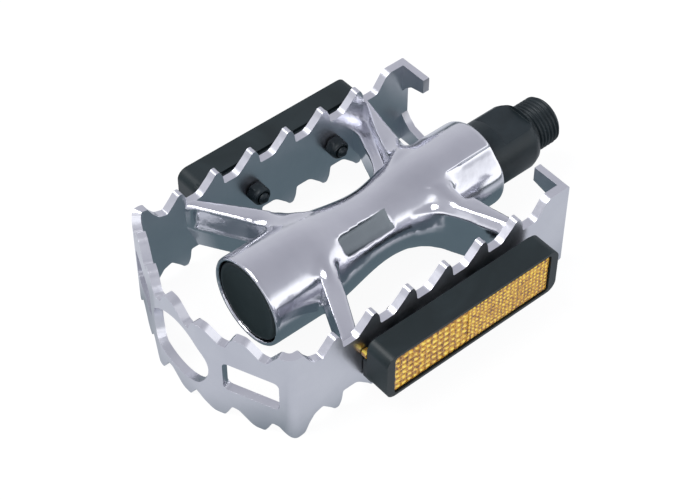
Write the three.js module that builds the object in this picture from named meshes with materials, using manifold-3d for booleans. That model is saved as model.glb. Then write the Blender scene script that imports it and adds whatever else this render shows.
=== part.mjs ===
// Cage-type bicycle pedal: a one-piece cast body turning on loose balls around a steel spindle,
// with an end cap and a reflector bolted to each side plate.
// Millimetres, +Z up. +X runs along the spindle towards the crank arm, and +Y is the rear plate.
// The origin is the centre of the spindle's end face, where the thread enters the crank.
// Inside this file X is measured from the barrel's outer mouth, and the group is shifted at the end.
import * as THREE from "three";
import { mergeVertices } from "three/addons/utils/BufferGeometryUtils.js";
import Module from "manifold-3d";

const wasm = await Module();
wasm.setup();

// ---- Driving dimensions ----
const GAP = 0.3; // clearance between pieces that touch
const ROUND = 48; // sides of the large turned surfaces
const SMALL_ROUND = 24;

// side plates
const HALF_WIDTH = 32.6; // axis to a plate's outer face
const PLATE = 2.4; // plate thickness
const PLATE_END = 81.8;
const PLATE_TOP = 14;
const TOOTH_PITCH = 12.1;
const TOOTH_COUNT = 6;
const FIRST_VALLEY = 5;
const VALLEY_TOP = 8.5;
const VALLEY_FLAT = 4.1;

// bow that joins the plates at the outer end
const BOW_FACE = -21.6; // outermost face
const BOW_TOP = 15.5;
const BOW_VALLEY = 11.3;
const BOW_SLANT = THREE.MathUtils.degToRad(23.2); // lean of each slanted face
const BEND_RADIUS = 6;
const BEND_Y = 7.6; // half length of the straight middle face
const CORNER_RADIUS = 4;
const BOW_PITCH = 11.4;
const BOW_FIRST_TIP = -19.8; // measured along the bow from its middle
const BOW_TIPS = 5;
const HOLE_HALF_WIDTH = 11.4;
const HOLE_HALF_HEIGHT = 9.9;
const SLOT_NEAR = 15.4; // slot ends, measured along the bow from its middle
const SLOT_FAR = 31.2;
const SLOT_HALF_HEIGHT = 5;
const SLOT_RADIUS = 1.5;

// hooks that close the plates' inner ends
const HOOK_THICK = 2.2;
const HOOK_REACH = 10.8;

// barrel and arms
const BARREL_RADIUS = 13.05;
const INNER_RADIUS = 12.7; // at the crank end
const WAIST_RADIUS = 9.9;
const WAIST_X = 42;
const BARREL_END = 79.2;
const ARM_TOP = 8.7;
const ARM_SHOULDER = 6.2; // height where an inner arm's sloping side starts
const OUTER_BORE = 10.7; // seat of the outer bearing cup
const INNER_BORE = 11.1;
const CORE_BORE = 7.4; // clearance bore between the two bearings
const CAP_BORE = 11.8;
const CAP_SEAT = 6.5; // depth of the cap's bore

// bearings: twelve 1/8 inch balls at each end
const BALLS = 12;
const BALL_RADIUS = 1.55;
const OUTER_PITCH_RADIUS = 7.5;
const INNER_PITCH_RADIUS = 8.2;
const OUTER_BALL_X = 11.6;
const INNER_BALL_X = 73.6;

// spindle
const THREAD_RADIUS = 7.14; // 9/16 inch
const THREAD_START = 96.6;
const THREAD_END = 105.6;
const COLLAR_START = 79.6;
const COLLAR_RADIUS = 9.7;
const WRENCH_FLATS = 15;
const FLATS_START = 84.5;
const FLATS_END = 95.6;
const SHANK_RADIUS = 5.9;
const TAIL_RADIUS = 4.2; // threaded tail that carries the cone and lock nut
const TAIL_END = 3.9;

// reflectors
const REFLECTOR_CENTRE = 39.8;
const HOUSING_LENGTH = 58.4;
const HOUSING_HEIGHT = 15.2;
const HOUSING_BACK = 34.9; // distance of the housing's back from the axis
const HOUSING_FRONT = 42.6;
const HOUSING_CORNER = 3;
const LENS_LENGTH = 52.6;
const LENS_HEIGHT = 12.8;
const LENS_THICK = 2;
const BOLT_X = [26.6, 54];
const BOLT_RADIUS = 1.75;
const BOLT_END = 24.9; // distance of the bolt's tip from the axis
const NUT_THICK = 2.4;
const NUT_RADIUS = 3.18; // across the corners
const BOSS_RADIUS = 4.2;
const FOOT_X = [11.2, 16.4]; // foot that steadies the housing's outer end against the plate

// ---- Helpers ----
function toSolid(geometry) {
  const bare = geometry.index ? geometry.toNonIndexed() : geometry.clone();
  bare.deleteAttribute("normal");
  bare.deleteAttribute("uv");
  const merged = mergeVertices(bare, 1e-4);
  const corners = merged.index.array;
  const kept = [];
  for (let i = 0; i < corners.length; i += 3) {
    const [a, b, c] = corners.slice(i, i + 3);
    if (a !== b && b !== c && c !== a) kept.push(a, b, c);
  }
  const mesh = new wasm.Mesh({
    numProp: 3,
    vertProperties: merged.attributes.position.array,
    triVerts: new Uint32Array(kept),
  });
  return new wasm.Manifold(mesh);
}

function toGeometry(solid) {
  const { vertProperties, triVerts } = solid.getMesh();
  const geometry = new THREE.BufferGeometry();
  geometry.setAttribute("position", new THREE.BufferAttribute(vertProperties, 3));
  geometry.setIndex(new THREE.BufferAttribute(triVerts, 1));
  geometry.computeVertexNormals();
  return geometry;
}

// Turns a closed [x, radius] outline about the spindle axis.
function turned(outline, sides = ROUND) {
  const points = outline.map(([x, radius]) => new THREE.Vector2(radius, x));
  if (THREE.ShapeUtils.isClockWise(points)) points.reverse();
  const startsOnAxis = points.findIndex((p, i) => p.x === 0 && points.at(i - 1).x === 0);
  const first = Math.max(startsOnAxis, 0);
  const ordered = [...points.slice(first), ...points.slice(0, first)];
  if (startsOnAxis < 0) ordered.push(ordered[0]);
  return toSolid(new THREE.LatheGeometry(ordered, sides).rotateZ(-Math.PI / 2));
}

function polygon(points) {
  return new THREE.Shape(points.map(([u, v]) => new THREE.Vector2(u, v)));
}

function roundedBox(halfLength, halfHeight, radius) {
  const shape = new THREE.Shape();
  shape.absarc(halfLength - radius, halfHeight - radius, radius, 0, Math.PI / 2);
  shape.absarc(radius - halfLength, halfHeight - radius, radius, Math.PI / 2, Math.PI);
  shape.absarc(radius - halfLength, radius - halfHeight, radius, Math.PI, 1.5 * Math.PI);
  shape.absarc(halfLength - radius, radius - halfHeight, radius, 1.5 * Math.PI, 2 * Math.PI);
  return shape;
}

// Extrudes an XY outline upwards, optionally with chamfered top and bottom edges.
function upright(shape, low, high, chamfer = 0, inset = chamfer) {
  const geometry = new THREE.ExtrudeGeometry(shape, {
    depth: high - low - 2 * chamfer,
    curveSegments: 6,
    bevelEnabled: chamfer > 0,
    bevelThickness: chamfer,
    bevelSize: inset,
    bevelOffset: -inset,
    bevelSegments: 1,
  });
  return toSolid(geometry.translate(0, 0, low + chamfer));
}

// Extrudes an outline drawn in X and Z from yLow to yHigh.
function crosswise(shape, yLow, yHigh, curveSegments = 6) {
  const depth = yHigh - yLow;
  const geometry = new THREE.ExtrudeGeometry(shape, { depth, bevelEnabled: false, curveSegments });
  return toSolid(geometry.rotateX(Math.PI / 2).translate(0, yHigh, 0));
}

// Extrudes an outline drawn in Y and Z along the spindle axis.
function lengthwise(shape, xLow, xHigh, curveSegments = 6) {
  const depth = xHigh - xLow;
  const geometry = new THREE.ExtrudeGeometry(shape, { depth, bevelEnabled: false, curveSegments });
  const basis = new THREE.Matrix4().makeBasis(
    new THREE.Vector3(0, 1, 0), new THREE.Vector3(0, 0, 1), new THREE.Vector3(1, 0, 0));
  return toSolid(geometry.applyMatrix4(basis).translate(xLow, 0, 0));
}

function join(solids) {
  return solids.reduce((all, next) => all.add(next));
}

function mirroredY(points) {
  return points.map(([x, y]) => [x, -y]).reverse();
}

const pieces = new THREE.Group();

function place(name, solid, colour, roughness, metalness) {
  const material = new THREE.MeshStandardMaterial({ color: colour, roughness, metalness });
  const mesh = new THREE.Mesh(toGeometry(solid), material);
  mesh.name = name;
  pieces.add(mesh);
  return mesh;
}

// ---- Cast body: cage wall ----

// Front corner and bend centres of the bow; the rear ones mirror them.
const bendCentre = [BOW_FACE + BEND_RADIUS, -BEND_Y];
const cornerY = CORNER_RADIUS - HALF_WIDTH;
const slantOffset = -bendCentre[0] * Math.cos(BOW_SLANT) + BEND_Y * Math.sin(BOW_SLANT) + BEND_RADIUS;
const cornerX = (-cornerY * Math.sin(BOW_SLANT) - slantOffset + CORNER_RADIUS) / Math.cos(BOW_SLANT);

// Plan of the wall at a given inset from its outer face, from the front plate round to the rear one.
function wallPath(inset) {
  const path = new THREE.Path();
  const slant = Math.PI + BOW_SLANT;
  path.moveTo(PLATE_END, inset - HALF_WIDTH);
  path.lineTo(cornerX, inset - HALF_WIDTH);
  path.absarc(cornerX, cornerY, CORNER_RADIUS - inset, 1.5 * Math.PI, slant, true);
  path.absarc(bendCentre[0], bendCentre[1], BEND_RADIUS - inset, slant, Math.PI, true);
  path.absarc(bendCentre[0], -bendCentre[1], BEND_RADIUS - inset, Math.PI, Math.PI - BOW_SLANT, true);
  path.absarc(cornerX, -cornerY, CORNER_RADIUS - inset, Math.PI - BOW_SLANT, Math.PI / 2, true);
  path.lineTo(PLATE_END, HALF_WIDTH - inset);
  return path.getPoints(4);
}

// Upper edge of a side plate from the corner bump to its inner end, as [x, z].
function plateEdge() {
  const rise = [[-3.9, 3.5], [-2.6, 5.1], [-1.4, 5.0], [-0.5, 3.2], [0, 0]];
  const edge = [[cornerX, BOW_TOP], [-7.2, 15], [-6, 12.6], [-3, 10], [-0.9, 8.8]];
  for (let tooth = 0; tooth < TOOTH_COUNT; tooth++) {
    const valley = FIRST_VALLEY + tooth * TOOTH_PITCH;
    if (tooth > 0) edge.push([valley - 6.9, VALLEY_TOP + 0.6]);
    for (const [dx, dz] of rise) edge.push([valley + dx, VALLEY_TOP + dz]);
    edge.push([valley + VALLEY_FLAT, VALLEY_TOP]);
  }
  const last = FIRST_VALLEY + (TOOTH_COUNT - 1) * TOOTH_PITCH + VALLEY_FLAT;
  edge.push([last + 1.1, VALLEY_TOP + 0.7], [last + 3.8, PLATE_TOP - 0.8], [last + 5.2, PLATE_TOP]);
  edge.push([PLATE_END + 1, PLATE_TOP]);
  return edge;
}

// Upper edge of the bow as [distance along the bow, z]: steep towards the rear, gentle to the front.
function bowEdge() {
  const tooth = [[-8.2, 0], [-6.3, 0.3], [-2.7, 3.6], [-1.6, 4.2], [1, 4.2], [2, 2.4]];
  const edge = [[BOW_FIRST_TIP - 11, BOW_TOP], [BOW_FIRST_TIP - 9.6, BOW_VALLEY + 2.4]];
  for (let k = 0; k < BOW_TIPS; k++) {
    for (const [ds, dz] of tooth) edge.push([BOW_FIRST_TIP + k * BOW_PITCH + ds, BOW_VALLEY + dz]);
  }
  edge.push([BOW_FIRST_TIP + BOW_TIPS * BOW_PITCH - 8.2, BOW_VALLEY]);
  edge.push([BOW_FIRST_TIP + BOW_TIPS * BOW_PITCH - 6.3, BOW_VALLEY + 0.3]);
  edge.push([BOW_FIRST_TIP + BOW_TIPS * BOW_PITCH - 2.6, BOW_TOP - 0.6]);
  edge.push([BOW_FIRST_TIP + BOW_TIPS * BOW_PITCH - 1.4, BOW_TOP]);
  return edge;
}

// Places a solid drawn in (distance along the bow, z, depth inwards) on one face of the bow.
const bendLength = BEND_RADIUS * BOW_SLANT;
function bowFrame(side) {
  if (side === 0) {
    const basis = new THREE.Matrix4().makeBasis(
      new THREE.Vector3(0, 1, 0), new THREE.Vector3(0, 0, 1), new THREE.Vector3(1, 0, 0));
    return basis.setPosition(BOW_FACE, 0, 0);
  }
  const along = new THREE.Vector3(side * Math.sin(BOW_SLANT), Math.cos(BOW_SLANT), 0);
  const inwards = new THREE.Vector3(Math.cos(BOW_SLANT), -side * Math.sin(BOW_SLANT), 0);
  const start = new THREE.Vector3(bendCentre[0], -side * bendCentre[1], 0);
  start.addScaledVector(inwards, -BEND_RADIUS);
  start.addScaledVector(along, -side * (BEND_Y + bendLength));
  return new THREE.Matrix4().makeBasis(along, new THREE.Vector3(0, 0, 1), inwards).setPosition(start);
}

function throughBow(shape, side) {
  const geometry = new THREE.ExtrudeGeometry(shape, { depth: 14, bevelEnabled: false, curveSegments: 8 });
  return toSolid(geometry.translate(0, 0, -6).applyMatrix4(bowFrame(side)));
}

function edgeCutter(edge, from, to) {
  const sky = 24;
  const inside = edge.filter(([s]) => s > from && s < to);
  return polygon([...inside, [inside.at(-1)[0], sky], [inside[0][0], sky]]);
}

function cageWall() {
  const outline = [...wallPath(0), ...wallPath(PLATE).reverse()];
  let wall = upright(new THREE.Shape(outline), -BOW_TOP, BOW_TOP);
  const plateGap = crosswise(edgeCutter(plateEdge(), -99, 199), -HALF_WIDTH - 4, HALF_WIDTH + 4);
  wall = wall.subtract(plateGap).subtract(plateGap.rotate([180, 0, 0]));
  const reach = { "-1": [-99, -7.4], 0: [-12, 12], 1: [7.4, 99] };
  for (const side of [-1, 0, 1]) {
    const gap = throughBow(edgeCutter(bowEdge(), ...reach[side]), side);
    wall = wall.subtract(gap);
    wall = wall.subtract(throughBow(edgeCutter(bowEdge(), ...reach[-side]), -side).rotate([180, 0, 0]));
  }
  const oval = new THREE.Shape();
  oval.absellipse(0, 0, HOLE_HALF_WIDTH, HOLE_HALF_HEIGHT, 0, 2 * Math.PI);
  wall = wall.subtract(throughBow(oval, 0));
  const slot = roundedBox((SLOT_FAR - SLOT_NEAR) / 2, SLOT_HALF_HEIGHT, SLOT_RADIUS);
  const slotPoints = slot.getPoints(4).map((p) => [p.x, p.y]);
  for (const side of [-1, 1]) {
    const middle = side * (SLOT_FAR + SLOT_NEAR) / 2;
    wall = wall.subtract(throughBow(polygon(slotPoints.map(([s, z]) => [s + middle, z])), side));
  }
  return wall;
}

// One hook at the top of the front plate's inner end; the others are turned from it.
function hooks() {
  const root = PLATE - HALF_WIDTH;
  const tip = HOOK_REACH - HALF_WIDTH;
  const outline = [[root - 1, PLATE_TOP], [root - 1, 4.4], [root, 4.4], [root + 1.6, 6.6],
    [root + 4, 8.4], [tip, 9.4], [tip, PLATE_TOP]];
  const front = lengthwise(polygon(outline.reverse()), PLATE_END - HOOK_THICK, PLATE_END);
  const top = front.add(front.mirror([0, 1, 0]));
  return top.add(top.mirror([0, 0, 1]));
}

// ---- Cast body: barrel and arms ----
function barrelOutside() {
  return turned([
    [0, 0], [0, BARREL_RADIUS], [13, BARREL_RADIUS], [19, 12.9], [26, 12.1], [32, 10.9], [37, 10.1],
    [WAIST_X, WAIST_RADIUS], [47, 10.1], [52, 10.9], [57, 12], [62, INNER_RADIUS],
    [BARREL_END - 1, INNER_RADIUS], [BARREL_END, INNER_RADIUS - 0.6], [BARREL_END, 0],
  ]);
}

function barrelInside() {
  const over = 2;
  return turned([
    [-over, 0], [-over, CAP_BORE], [CAP_SEAT, CAP_BORE], [CAP_SEAT, OUTER_BORE], [15.2, OUTER_BORE],
    [15.2, CORE_BORE], [70.2, CORE_BORE], [70.2, INNER_BORE], [BARREL_END + over, INNER_BORE],
    [BARREL_END + over, 0],
  ]);
}

// Each outer arm is drawn on the front side, from its outboard edge round to its inboard one.
const ARM_WALL = 1 - HALF_WIDTH; // arms end inside the plate
const OUTER_ARMS = {
  front: {
    foot: [5.6, ARM_WALL],
    head: [14.2, -12.5],
    inboard: [[28, -3], [22.5, -10], [16.8, -20.2], [12.2, ARM_WALL]],
  },
  rear: {
    foot: [3.6, ARM_WALL],
    head: [15.4, -12],
    inboard: [[30, -3], [25.4, -9], [19.5, -16.1], [12.8, -24.5], [7, ARM_WALL]],
  },
};

// An arm whose outboard face has a recess in its upper half and leans in below.
function outerArm({ foot, head, inboard }) {
  const blank = upright(polygon([foot, head, [12, -3], ...inboard]), -ARM_TOP, ARM_TOP, 0.7);
  const run = new THREE.Vector3(head[0] - foot[0], head[1] - foot[1], 0);
  const length = run.length();
  const along = run.normalize();
  const inwards = new THREE.Vector3(along.y, -along.x, 0);
  const basis = new THREE.Matrix4().makeBasis(inwards, new THREE.Vector3(0, 0, 1), along.clone().negate());
  basis.setPosition(new THREE.Vector3(foot[0], foot[1], 0));
  const cut = (points, from, to) => {
    const depth = to - from;
    const geometry = new THREE.ExtrudeGeometry(polygon(points), { depth, bevelEnabled: false });
    return toSolid(geometry.translate(0, 0, -to).applyMatrix4(basis));
  };
  const roof = ARM_TOP - 1.3;
  const recess = cut([[-3, 0.8], [2, 0.8], [2, roof], [-3, roof]], 2, length - 1);
  const lean = cut([[-3, -0.6], [-0.01, -0.6], [2.6, -ARM_TOP - 1], [-3, -ARM_TOP - 1]], -1.2, length);
  return blank.subtract(recess).subtract(lean);
}

function arms() {
  const inner = [[59.6, ARM_WALL], [67.2, ARM_WALL], [65, -20.8], [63, -12], [62.4, -4], [46, -4],
    [50, -9.4], [54, -15.2], [57.4, -23]];
  const ridge = [[64.2, ARM_WALL], [67.2, ARM_WALL], [65, -20.8], [63, -12], [62.4, -4], [53.8, -4],
    [56.2, -11], [60.6, -21]];
  const slope = ARM_TOP - ARM_SHOULDER;
  const parts = [outerArm(OUTER_ARMS.front), outerArm(OUTER_ARMS.rear).mirror([0, 1, 0])];
  for (const plan of [inner, mirroredY(inner)]) {
    parts.push(upright(polygon(plan), -ARM_TOP, ARM_TOP, slope, 2.4));
  }
  for (const plan of [ridge, mirroredY(ridge)]) parts.push(upright(polygon(plan), -ARM_TOP, ARM_TOP));
  return join(parts);
}

// Pocket in the upper front of the waist, and its twin opposite.
function waistPockets() {
  const pocket = crosswise(polygon([[26.6, -2.7], [43, -2.7], [43, 2.7], [26.6, 2.7]]), -20, -9);
  const front = pocket.rotate([-49, 0, 0]);
  return front.add(front.rotate([180, 0, 0]));
}

// Shallow step beside the pad on top of the barrel's crank end, and its twin opposite.
function barrelSteps() {
  const ring = turned([[62.5, INNER_RADIUS - 1], [BARREL_END + 1, INNER_RADIUS - 1],
    [BARREL_END + 1, 20], [62.5, 20]]);
  const wedge = lengthwise(polygon([[0, 0], [-30, 4], [-15, 27]]), 60, 85);
  const front = ring.intersect(wedge);
  return front.add(front.rotate([180, 0, 0]));
}

function castBody() {
  const boltHoles = [];
  for (const x of BOLT_X) {
    const hole = new THREE.Shape();
    hole.absarc(x, 0, BOLT_RADIUS + GAP, 0, 2 * Math.PI);
    boltHoles.push(crosswise(hole, -HALF_WIDTH - 1, -HALF_WIDTH + PLATE + 1));
    boltHoles.push(crosswise(hole, HALF_WIDTH - PLATE - 1, HALF_WIDTH + 1));
  }
  const core = barrelOutside().subtract(barrelSteps()).add(arms());
  return core.subtract(waistPockets()).add(cageWall()).add(hooks())
    .subtract(barrelInside()).subtract(join(boltHoles));
}

// ---- Spindle and bearings ----
function spindle() {
  const coneTop = INNER_PITCH_RADIUS - BALL_RADIUS - GAP;
  const blank = turned([
    [TAIL_END, 0], [TAIL_END, TAIL_RADIUS - 0.6], [TAIL_END + 0.6, TAIL_RADIUS], [17, TAIL_RADIUS],
    [19, SHANK_RADIUS - 1], [66, SHANK_RADIUS], [INNER_BALL_X + 0.4, coneTop],
    [INNER_BALL_X + 2, coneTop + 1.3],
    [COLLAR_START - 0.3, coneTop + 1.3], [COLLAR_START, COLLAR_RADIUS - 0.5],
    [COLLAR_START + 0.5, COLLAR_RADIUS], [THREAD_START - 3.2, COLLAR_RADIUS], [THREAD_START - 1, 8.9],
    [THREAD_START, 8.5], [THREAD_START, THREAD_RADIUS],
    [THREAD_END - 0.9, THREAD_RADIUS], [THREAD_END, THREAD_RADIUS - 0.9], [THREAD_END, 0],
  ]);
  const flatPlan = [[FLATS_START, -15], [FLATS_END, -15], [FLATS_END, 15], [FLATS_START, 15]];
  const flat = upright(polygon(flatPlan), WRENCH_FLATS / 2, 15);
  const keyway = upright(polygon([[1, -0.9], [12, -0.9], [12, 0.9], [1, 0.9]]), TAIL_RADIUS - 1, 8);
  return blank.subtract(flat).subtract(flat.rotate([180, 0, 0])).subtract(keyway);
}

// Pressed steel cup: a ring with a flange on the side away from its mouth.
function bearingCup(ballX, pitchRadius, seatRadius, mouth) {
  const outside = seatRadius - GAP;
  const inside = pitchRadius + BALL_RADIUS + GAP;
  const floor = ballX - mouth * (BALL_RADIUS + GAP + 0.2);
  const back = floor - mouth * 0.8;
  const lip = ballX + mouth * 1.4;
  return turned([[back, pitchRadius - 0.6], [back, outside], [lip, outside], [lip, inside],
    [floor + mouth * 0.9, inside], [floor, inside - 0.9], [floor, pitchRadius - 0.6]]);
}

function bearingCone() {
  const inside = TAIL_RADIUS + GAP;
  const track = OUTER_PITCH_RADIUS - BALL_RADIUS - GAP;
  return turned([[8.3, inside], [8.3, track + 1.3], [9.6, track + 1.3], [OUTER_BALL_X - 0.4, track],
    [13, track - 0.3], [13, inside]]);
}

function keyedWasher() {
  const ring = turned([[7.1, TAIL_RADIUS + GAP], [7.1, 6.6], [8, 6.6], [8, TAIL_RADIUS + GAP]], 32);
  const key = upright(polygon([[7.1, -0.6], [8, -0.6], [8, 0.6], [7.1, 0.6]]), TAIL_RADIUS - 0.5, 5.2);
  return ring.add(key);
}

function hexagon(radius) {
  const corners = [];
  for (let k = 0; k < 6; k++) {
    const turn = k * Math.PI / 3;
    corners.push([radius * Math.cos(turn), radius * Math.sin(turn)]);
  }
  return polygon(corners);
}

function lockNut() {
  const hole = new THREE.Path();
  hole.absarc(0, 0, TAIL_RADIUS + GAP, 0, 2 * Math.PI);
  const outline = hexagon(6.9);
  outline.holes.push(hole);
  return lengthwise(outline, 4.3, 6.8, 8);
}

function dustCap() {
  const rim = CAP_BORE - GAP;
  const inside = rim - 1.2;
  return turned([[0.5, 0], [0.5, rim - 0.7], [1.1, rim], [6, rim], [6, inside], [2.6, inside], [2.6, 0]]);
}

function dustSeal() {
  const outside = INNER_BORE - GAP;
  return turned([[76.4, outside], [78.9, outside], [78.9, 8.2], [78, 8.1], [76.4, 8.2]]);
}

// ---- Reflectors, drawn for the front plate and turned half a turn for the rear one ----
function boltHole(x, radius, yLow, yHigh) {
  const hole = new THREE.Shape();
  hole.absarc(x, 0, radius, 0, 2 * Math.PI);
  return crosswise(hole, yLow, yHigh);
}

function hexAt(x, radius, yLow, yHigh) {
  return crosswise(hexagon(radius), yLow, yHigh).translate([x, 0, 0]);
}

const lensSeat = HOUSING_FRONT - LENS_THICK - GAP;

function reflectorHousing() {
  const outline = roundedBox(HOUSING_LENGTH / 2, HOUSING_HEIGHT / 2, HOUSING_CORNER);
  let housing = crosswise(outline, -HOUSING_FRONT, -HOUSING_BACK).translate([REFLECTOR_CENTRE, 0, 0]);
  const seat = roundedBox(LENS_LENGTH / 2 + GAP, LENS_HEIGHT / 2 + GAP, 1);
  housing = housing.subtract(
    crosswise(seat, -HOUSING_FRONT - 1, -lensSeat).translate([REFLECTOR_CENTRE, 0, 0]));
  const plateFace = -HALF_WIDTH - GAP;
  const foot = [[FOOT_X[0], -7.3], [FOOT_X[1], -7.3], [FOOT_X[1], -0.3], [FOOT_X[0], -0.3]];
  housing = housing.add(crosswise(polygon(foot), -HOUSING_BACK - 1, plateFace));
  for (const x of BOLT_X) housing = housing.add(boltHole(x, BOSS_RADIUS, -HOUSING_BACK - 1, plateFace));
  for (const x of BOLT_X) {
    housing = housing.subtract(boltHole(x, BOLT_RADIUS + GAP, -HOUSING_FRONT - 1, -HALF_WIDTH + 1));
    housing = housing.subtract(hexAt(x, NUT_RADIUS + GAP, -HOUSING_FRONT - 1, -37.4));
  }
  return housing;
}

function reflectorLens() {
  const outline = roundedBox(LENS_LENGTH / 2, LENS_HEIGHT / 2, 0.7);
  return crosswise(outline, -HOUSING_FRONT + 0.1, -lensSeat - 0.2).translate([REFLECTOR_CENTRE, 0, 0]);
}

function reflectorBolt(x) {
  const head = hexAt(x, NUT_RADIUS, -lensSeat + GAP, -37.7);
  return head.add(boltHole(x, BOLT_RADIUS, -38.5, -BOLT_END));
}

function reflectorNut(x) {
  const face = HALF_WIDTH - PLATE - GAP;
  const hole = boltHole(x, BOLT_RADIUS + GAP, -face - 1, 0);
  return hexAt(x, NUT_RADIUS, -face, -face + NUT_THICK).subtract(hole);
}

// ---- Assembly ----
place("pedal_body", castBody(), 0xb4b4be, 0.32, 0.9);
place("spindle", spindle(), 0x23282c, 0.45, 0.6);
place("dust_cap", dustCap(), 0x14191c, 0.5, 0);
place("inner_dust_seal", dustSeal(), 0x101214, 0.8, 0);
place("outer_bearing_cup", bearingCup(OUTER_BALL_X, OUTER_PITCH_RADIUS, OUTER_BORE, -1), 0x8c9094, 0.3, 1);
place("inner_bearing_cup", bearingCup(INNER_BALL_X, INNER_PITCH_RADIUS, INNER_BORE, 1), 0x8c9094, 0.3, 1);
place("bearing_cone", bearingCone(), 0x9a9ea2, 0.3, 1);
place("keyed_washer", keyedWasher(), 0x9a9ea2, 0.4, 1);
place("lock_nut", lockNut(), 0x9a9ea2, 0.4, 1);

const bearings = { outer: [OUTER_BALL_X, OUTER_PITCH_RADIUS], inner: [INNER_BALL_X, INNER_PITCH_RADIUS] };
for (const [end, [x, pitchRadius]] of Object.entries(bearings)) {
  for (let k = 0; k < BALLS; k++) {
    const ball = toSolid(new THREE.IcosahedronGeometry(BALL_RADIUS, 1));
    const mesh = place(`${end}_ball_${String(k + 1).padStart(2, "0")}`, ball, 0xc8ccd0, 0.15, 1);
    const turn = 2 * Math.PI * k / BALLS;
    mesh.position.set(x, pitchRadius * Math.cos(turn), pitchRadius * Math.sin(turn));
  }
}

for (const [end, halfTurns] of [["front", 0], ["rear", 1]]) {
  const swing = [halfTurns * 180, 0, 0];
  place(`${end}_reflector_housing`, reflectorHousing().rotate(swing), 0x1b2224, 0.55, 0);
  place(`${end}_reflector_lens`, reflectorLens().rotate(swing), 0xd9981e, 0.2, 0);
  BOLT_X.forEach((x, k) => {
    place(`${end}_reflector_bolt_${k + 1}`, reflectorBolt(x).rotate(swing), 0x15181a, 0.5, 0.5);
    place(`${end}_reflector_nut_${k + 1}`, reflectorNut(x).rotate(swing), 0x15181a, 0.5, 0.5);
  });
}

pieces.position.x = -THREAD_END;
const pedal = new THREE.Group();
pedal.add(pieces);

export default pedal;
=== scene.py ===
import math

import bmesh
import bpy
from mathutils import Matrix, Vector


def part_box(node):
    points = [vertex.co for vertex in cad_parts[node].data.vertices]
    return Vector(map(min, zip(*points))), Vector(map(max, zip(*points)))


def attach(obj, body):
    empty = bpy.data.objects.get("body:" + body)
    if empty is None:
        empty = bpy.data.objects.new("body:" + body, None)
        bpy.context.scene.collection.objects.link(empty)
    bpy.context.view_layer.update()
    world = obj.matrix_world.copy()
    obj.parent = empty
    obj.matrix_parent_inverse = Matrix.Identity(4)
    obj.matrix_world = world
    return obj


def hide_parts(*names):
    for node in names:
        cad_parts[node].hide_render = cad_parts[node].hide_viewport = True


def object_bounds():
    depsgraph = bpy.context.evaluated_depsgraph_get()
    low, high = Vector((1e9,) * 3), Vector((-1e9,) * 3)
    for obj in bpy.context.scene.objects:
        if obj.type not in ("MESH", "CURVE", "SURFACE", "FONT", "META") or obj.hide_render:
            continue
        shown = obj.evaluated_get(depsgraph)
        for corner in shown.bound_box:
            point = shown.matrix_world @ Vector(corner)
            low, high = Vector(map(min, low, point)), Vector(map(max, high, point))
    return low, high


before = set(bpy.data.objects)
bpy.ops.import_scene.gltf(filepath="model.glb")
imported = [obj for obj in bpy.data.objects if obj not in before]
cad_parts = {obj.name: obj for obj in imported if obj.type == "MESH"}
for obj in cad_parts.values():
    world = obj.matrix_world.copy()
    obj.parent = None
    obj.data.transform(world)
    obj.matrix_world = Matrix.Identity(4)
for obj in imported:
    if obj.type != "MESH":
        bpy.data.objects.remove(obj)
cad_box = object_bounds()


# ---- Camera ----
# A long lens looks down on the pedal from beyond its outer end, a little to the front,
# so that the barrel's cap, the front reflector and the insides of the rear plate all show.
scene = bpy.context.scene
camera = bpy.data.objects.new("camera", bpy.data.cameras.new("camera"))
camera.data.sensor_width = 36
camera.data.sensor_fit = "HORIZONTAL"
camera.data.lens = 96.62
camera_spot = Vector((-0.28845, -0.25435, 0.36255))
camera_right = Vector((0.76242, -0.64707, 0.00376))
camera_up = Vector((0.47626, 0.56508, 0.67369))
camera_axes = Matrix((camera_right, camera_up, camera_right.cross(camera_up))).transposed()
camera.matrix_world = Matrix.Translation(camera_spot) @ camera_axes.to_4x4()
scene.collection.objects.link(camera)
scene.camera = camera
scene.view_settings.view_transform = "Standard"


# ---- Floor and light ----
# A pale sweep, a grey-lavender sky with a white band low in front, and a soft box high on the left.
# Polished metal sees a painted shadow on the floor under the cage, pale paper round it and a dark room
# beyond, so the floor has one look for reflections and another for the eye.
def node_maker(material_or_world):
    """Empties a node tree and returns two functions: one adds a node with its settings, one links sockets."""
    material_or_world.use_nodes = True
    tree = material_or_world.node_tree
    tree.nodes.clear()

    def add(kind, settings=(), inputs=()):
        node = tree.nodes.new(kind)
        for name, value in dict(settings).items():
            setattr(node, name, value)
        for name, value in dict(inputs).items():
            node.inputs[name].default_value = value
        return node

    return add, tree.links.new


def set_ramp(ramp, stops):
    """Sets a colour ramp's stops, given as (position, grey or colour)."""
    elements = ramp.color_ramp.elements
    while len(elements) < len(stops):
        elements.new(0.5)
    for element, (position, colour) in zip(elements, stops):
        element.position = position
        shade = (colour, colour, colour) if isinstance(colour, float) else colour
        element.color = (*shade, 1)


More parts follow.
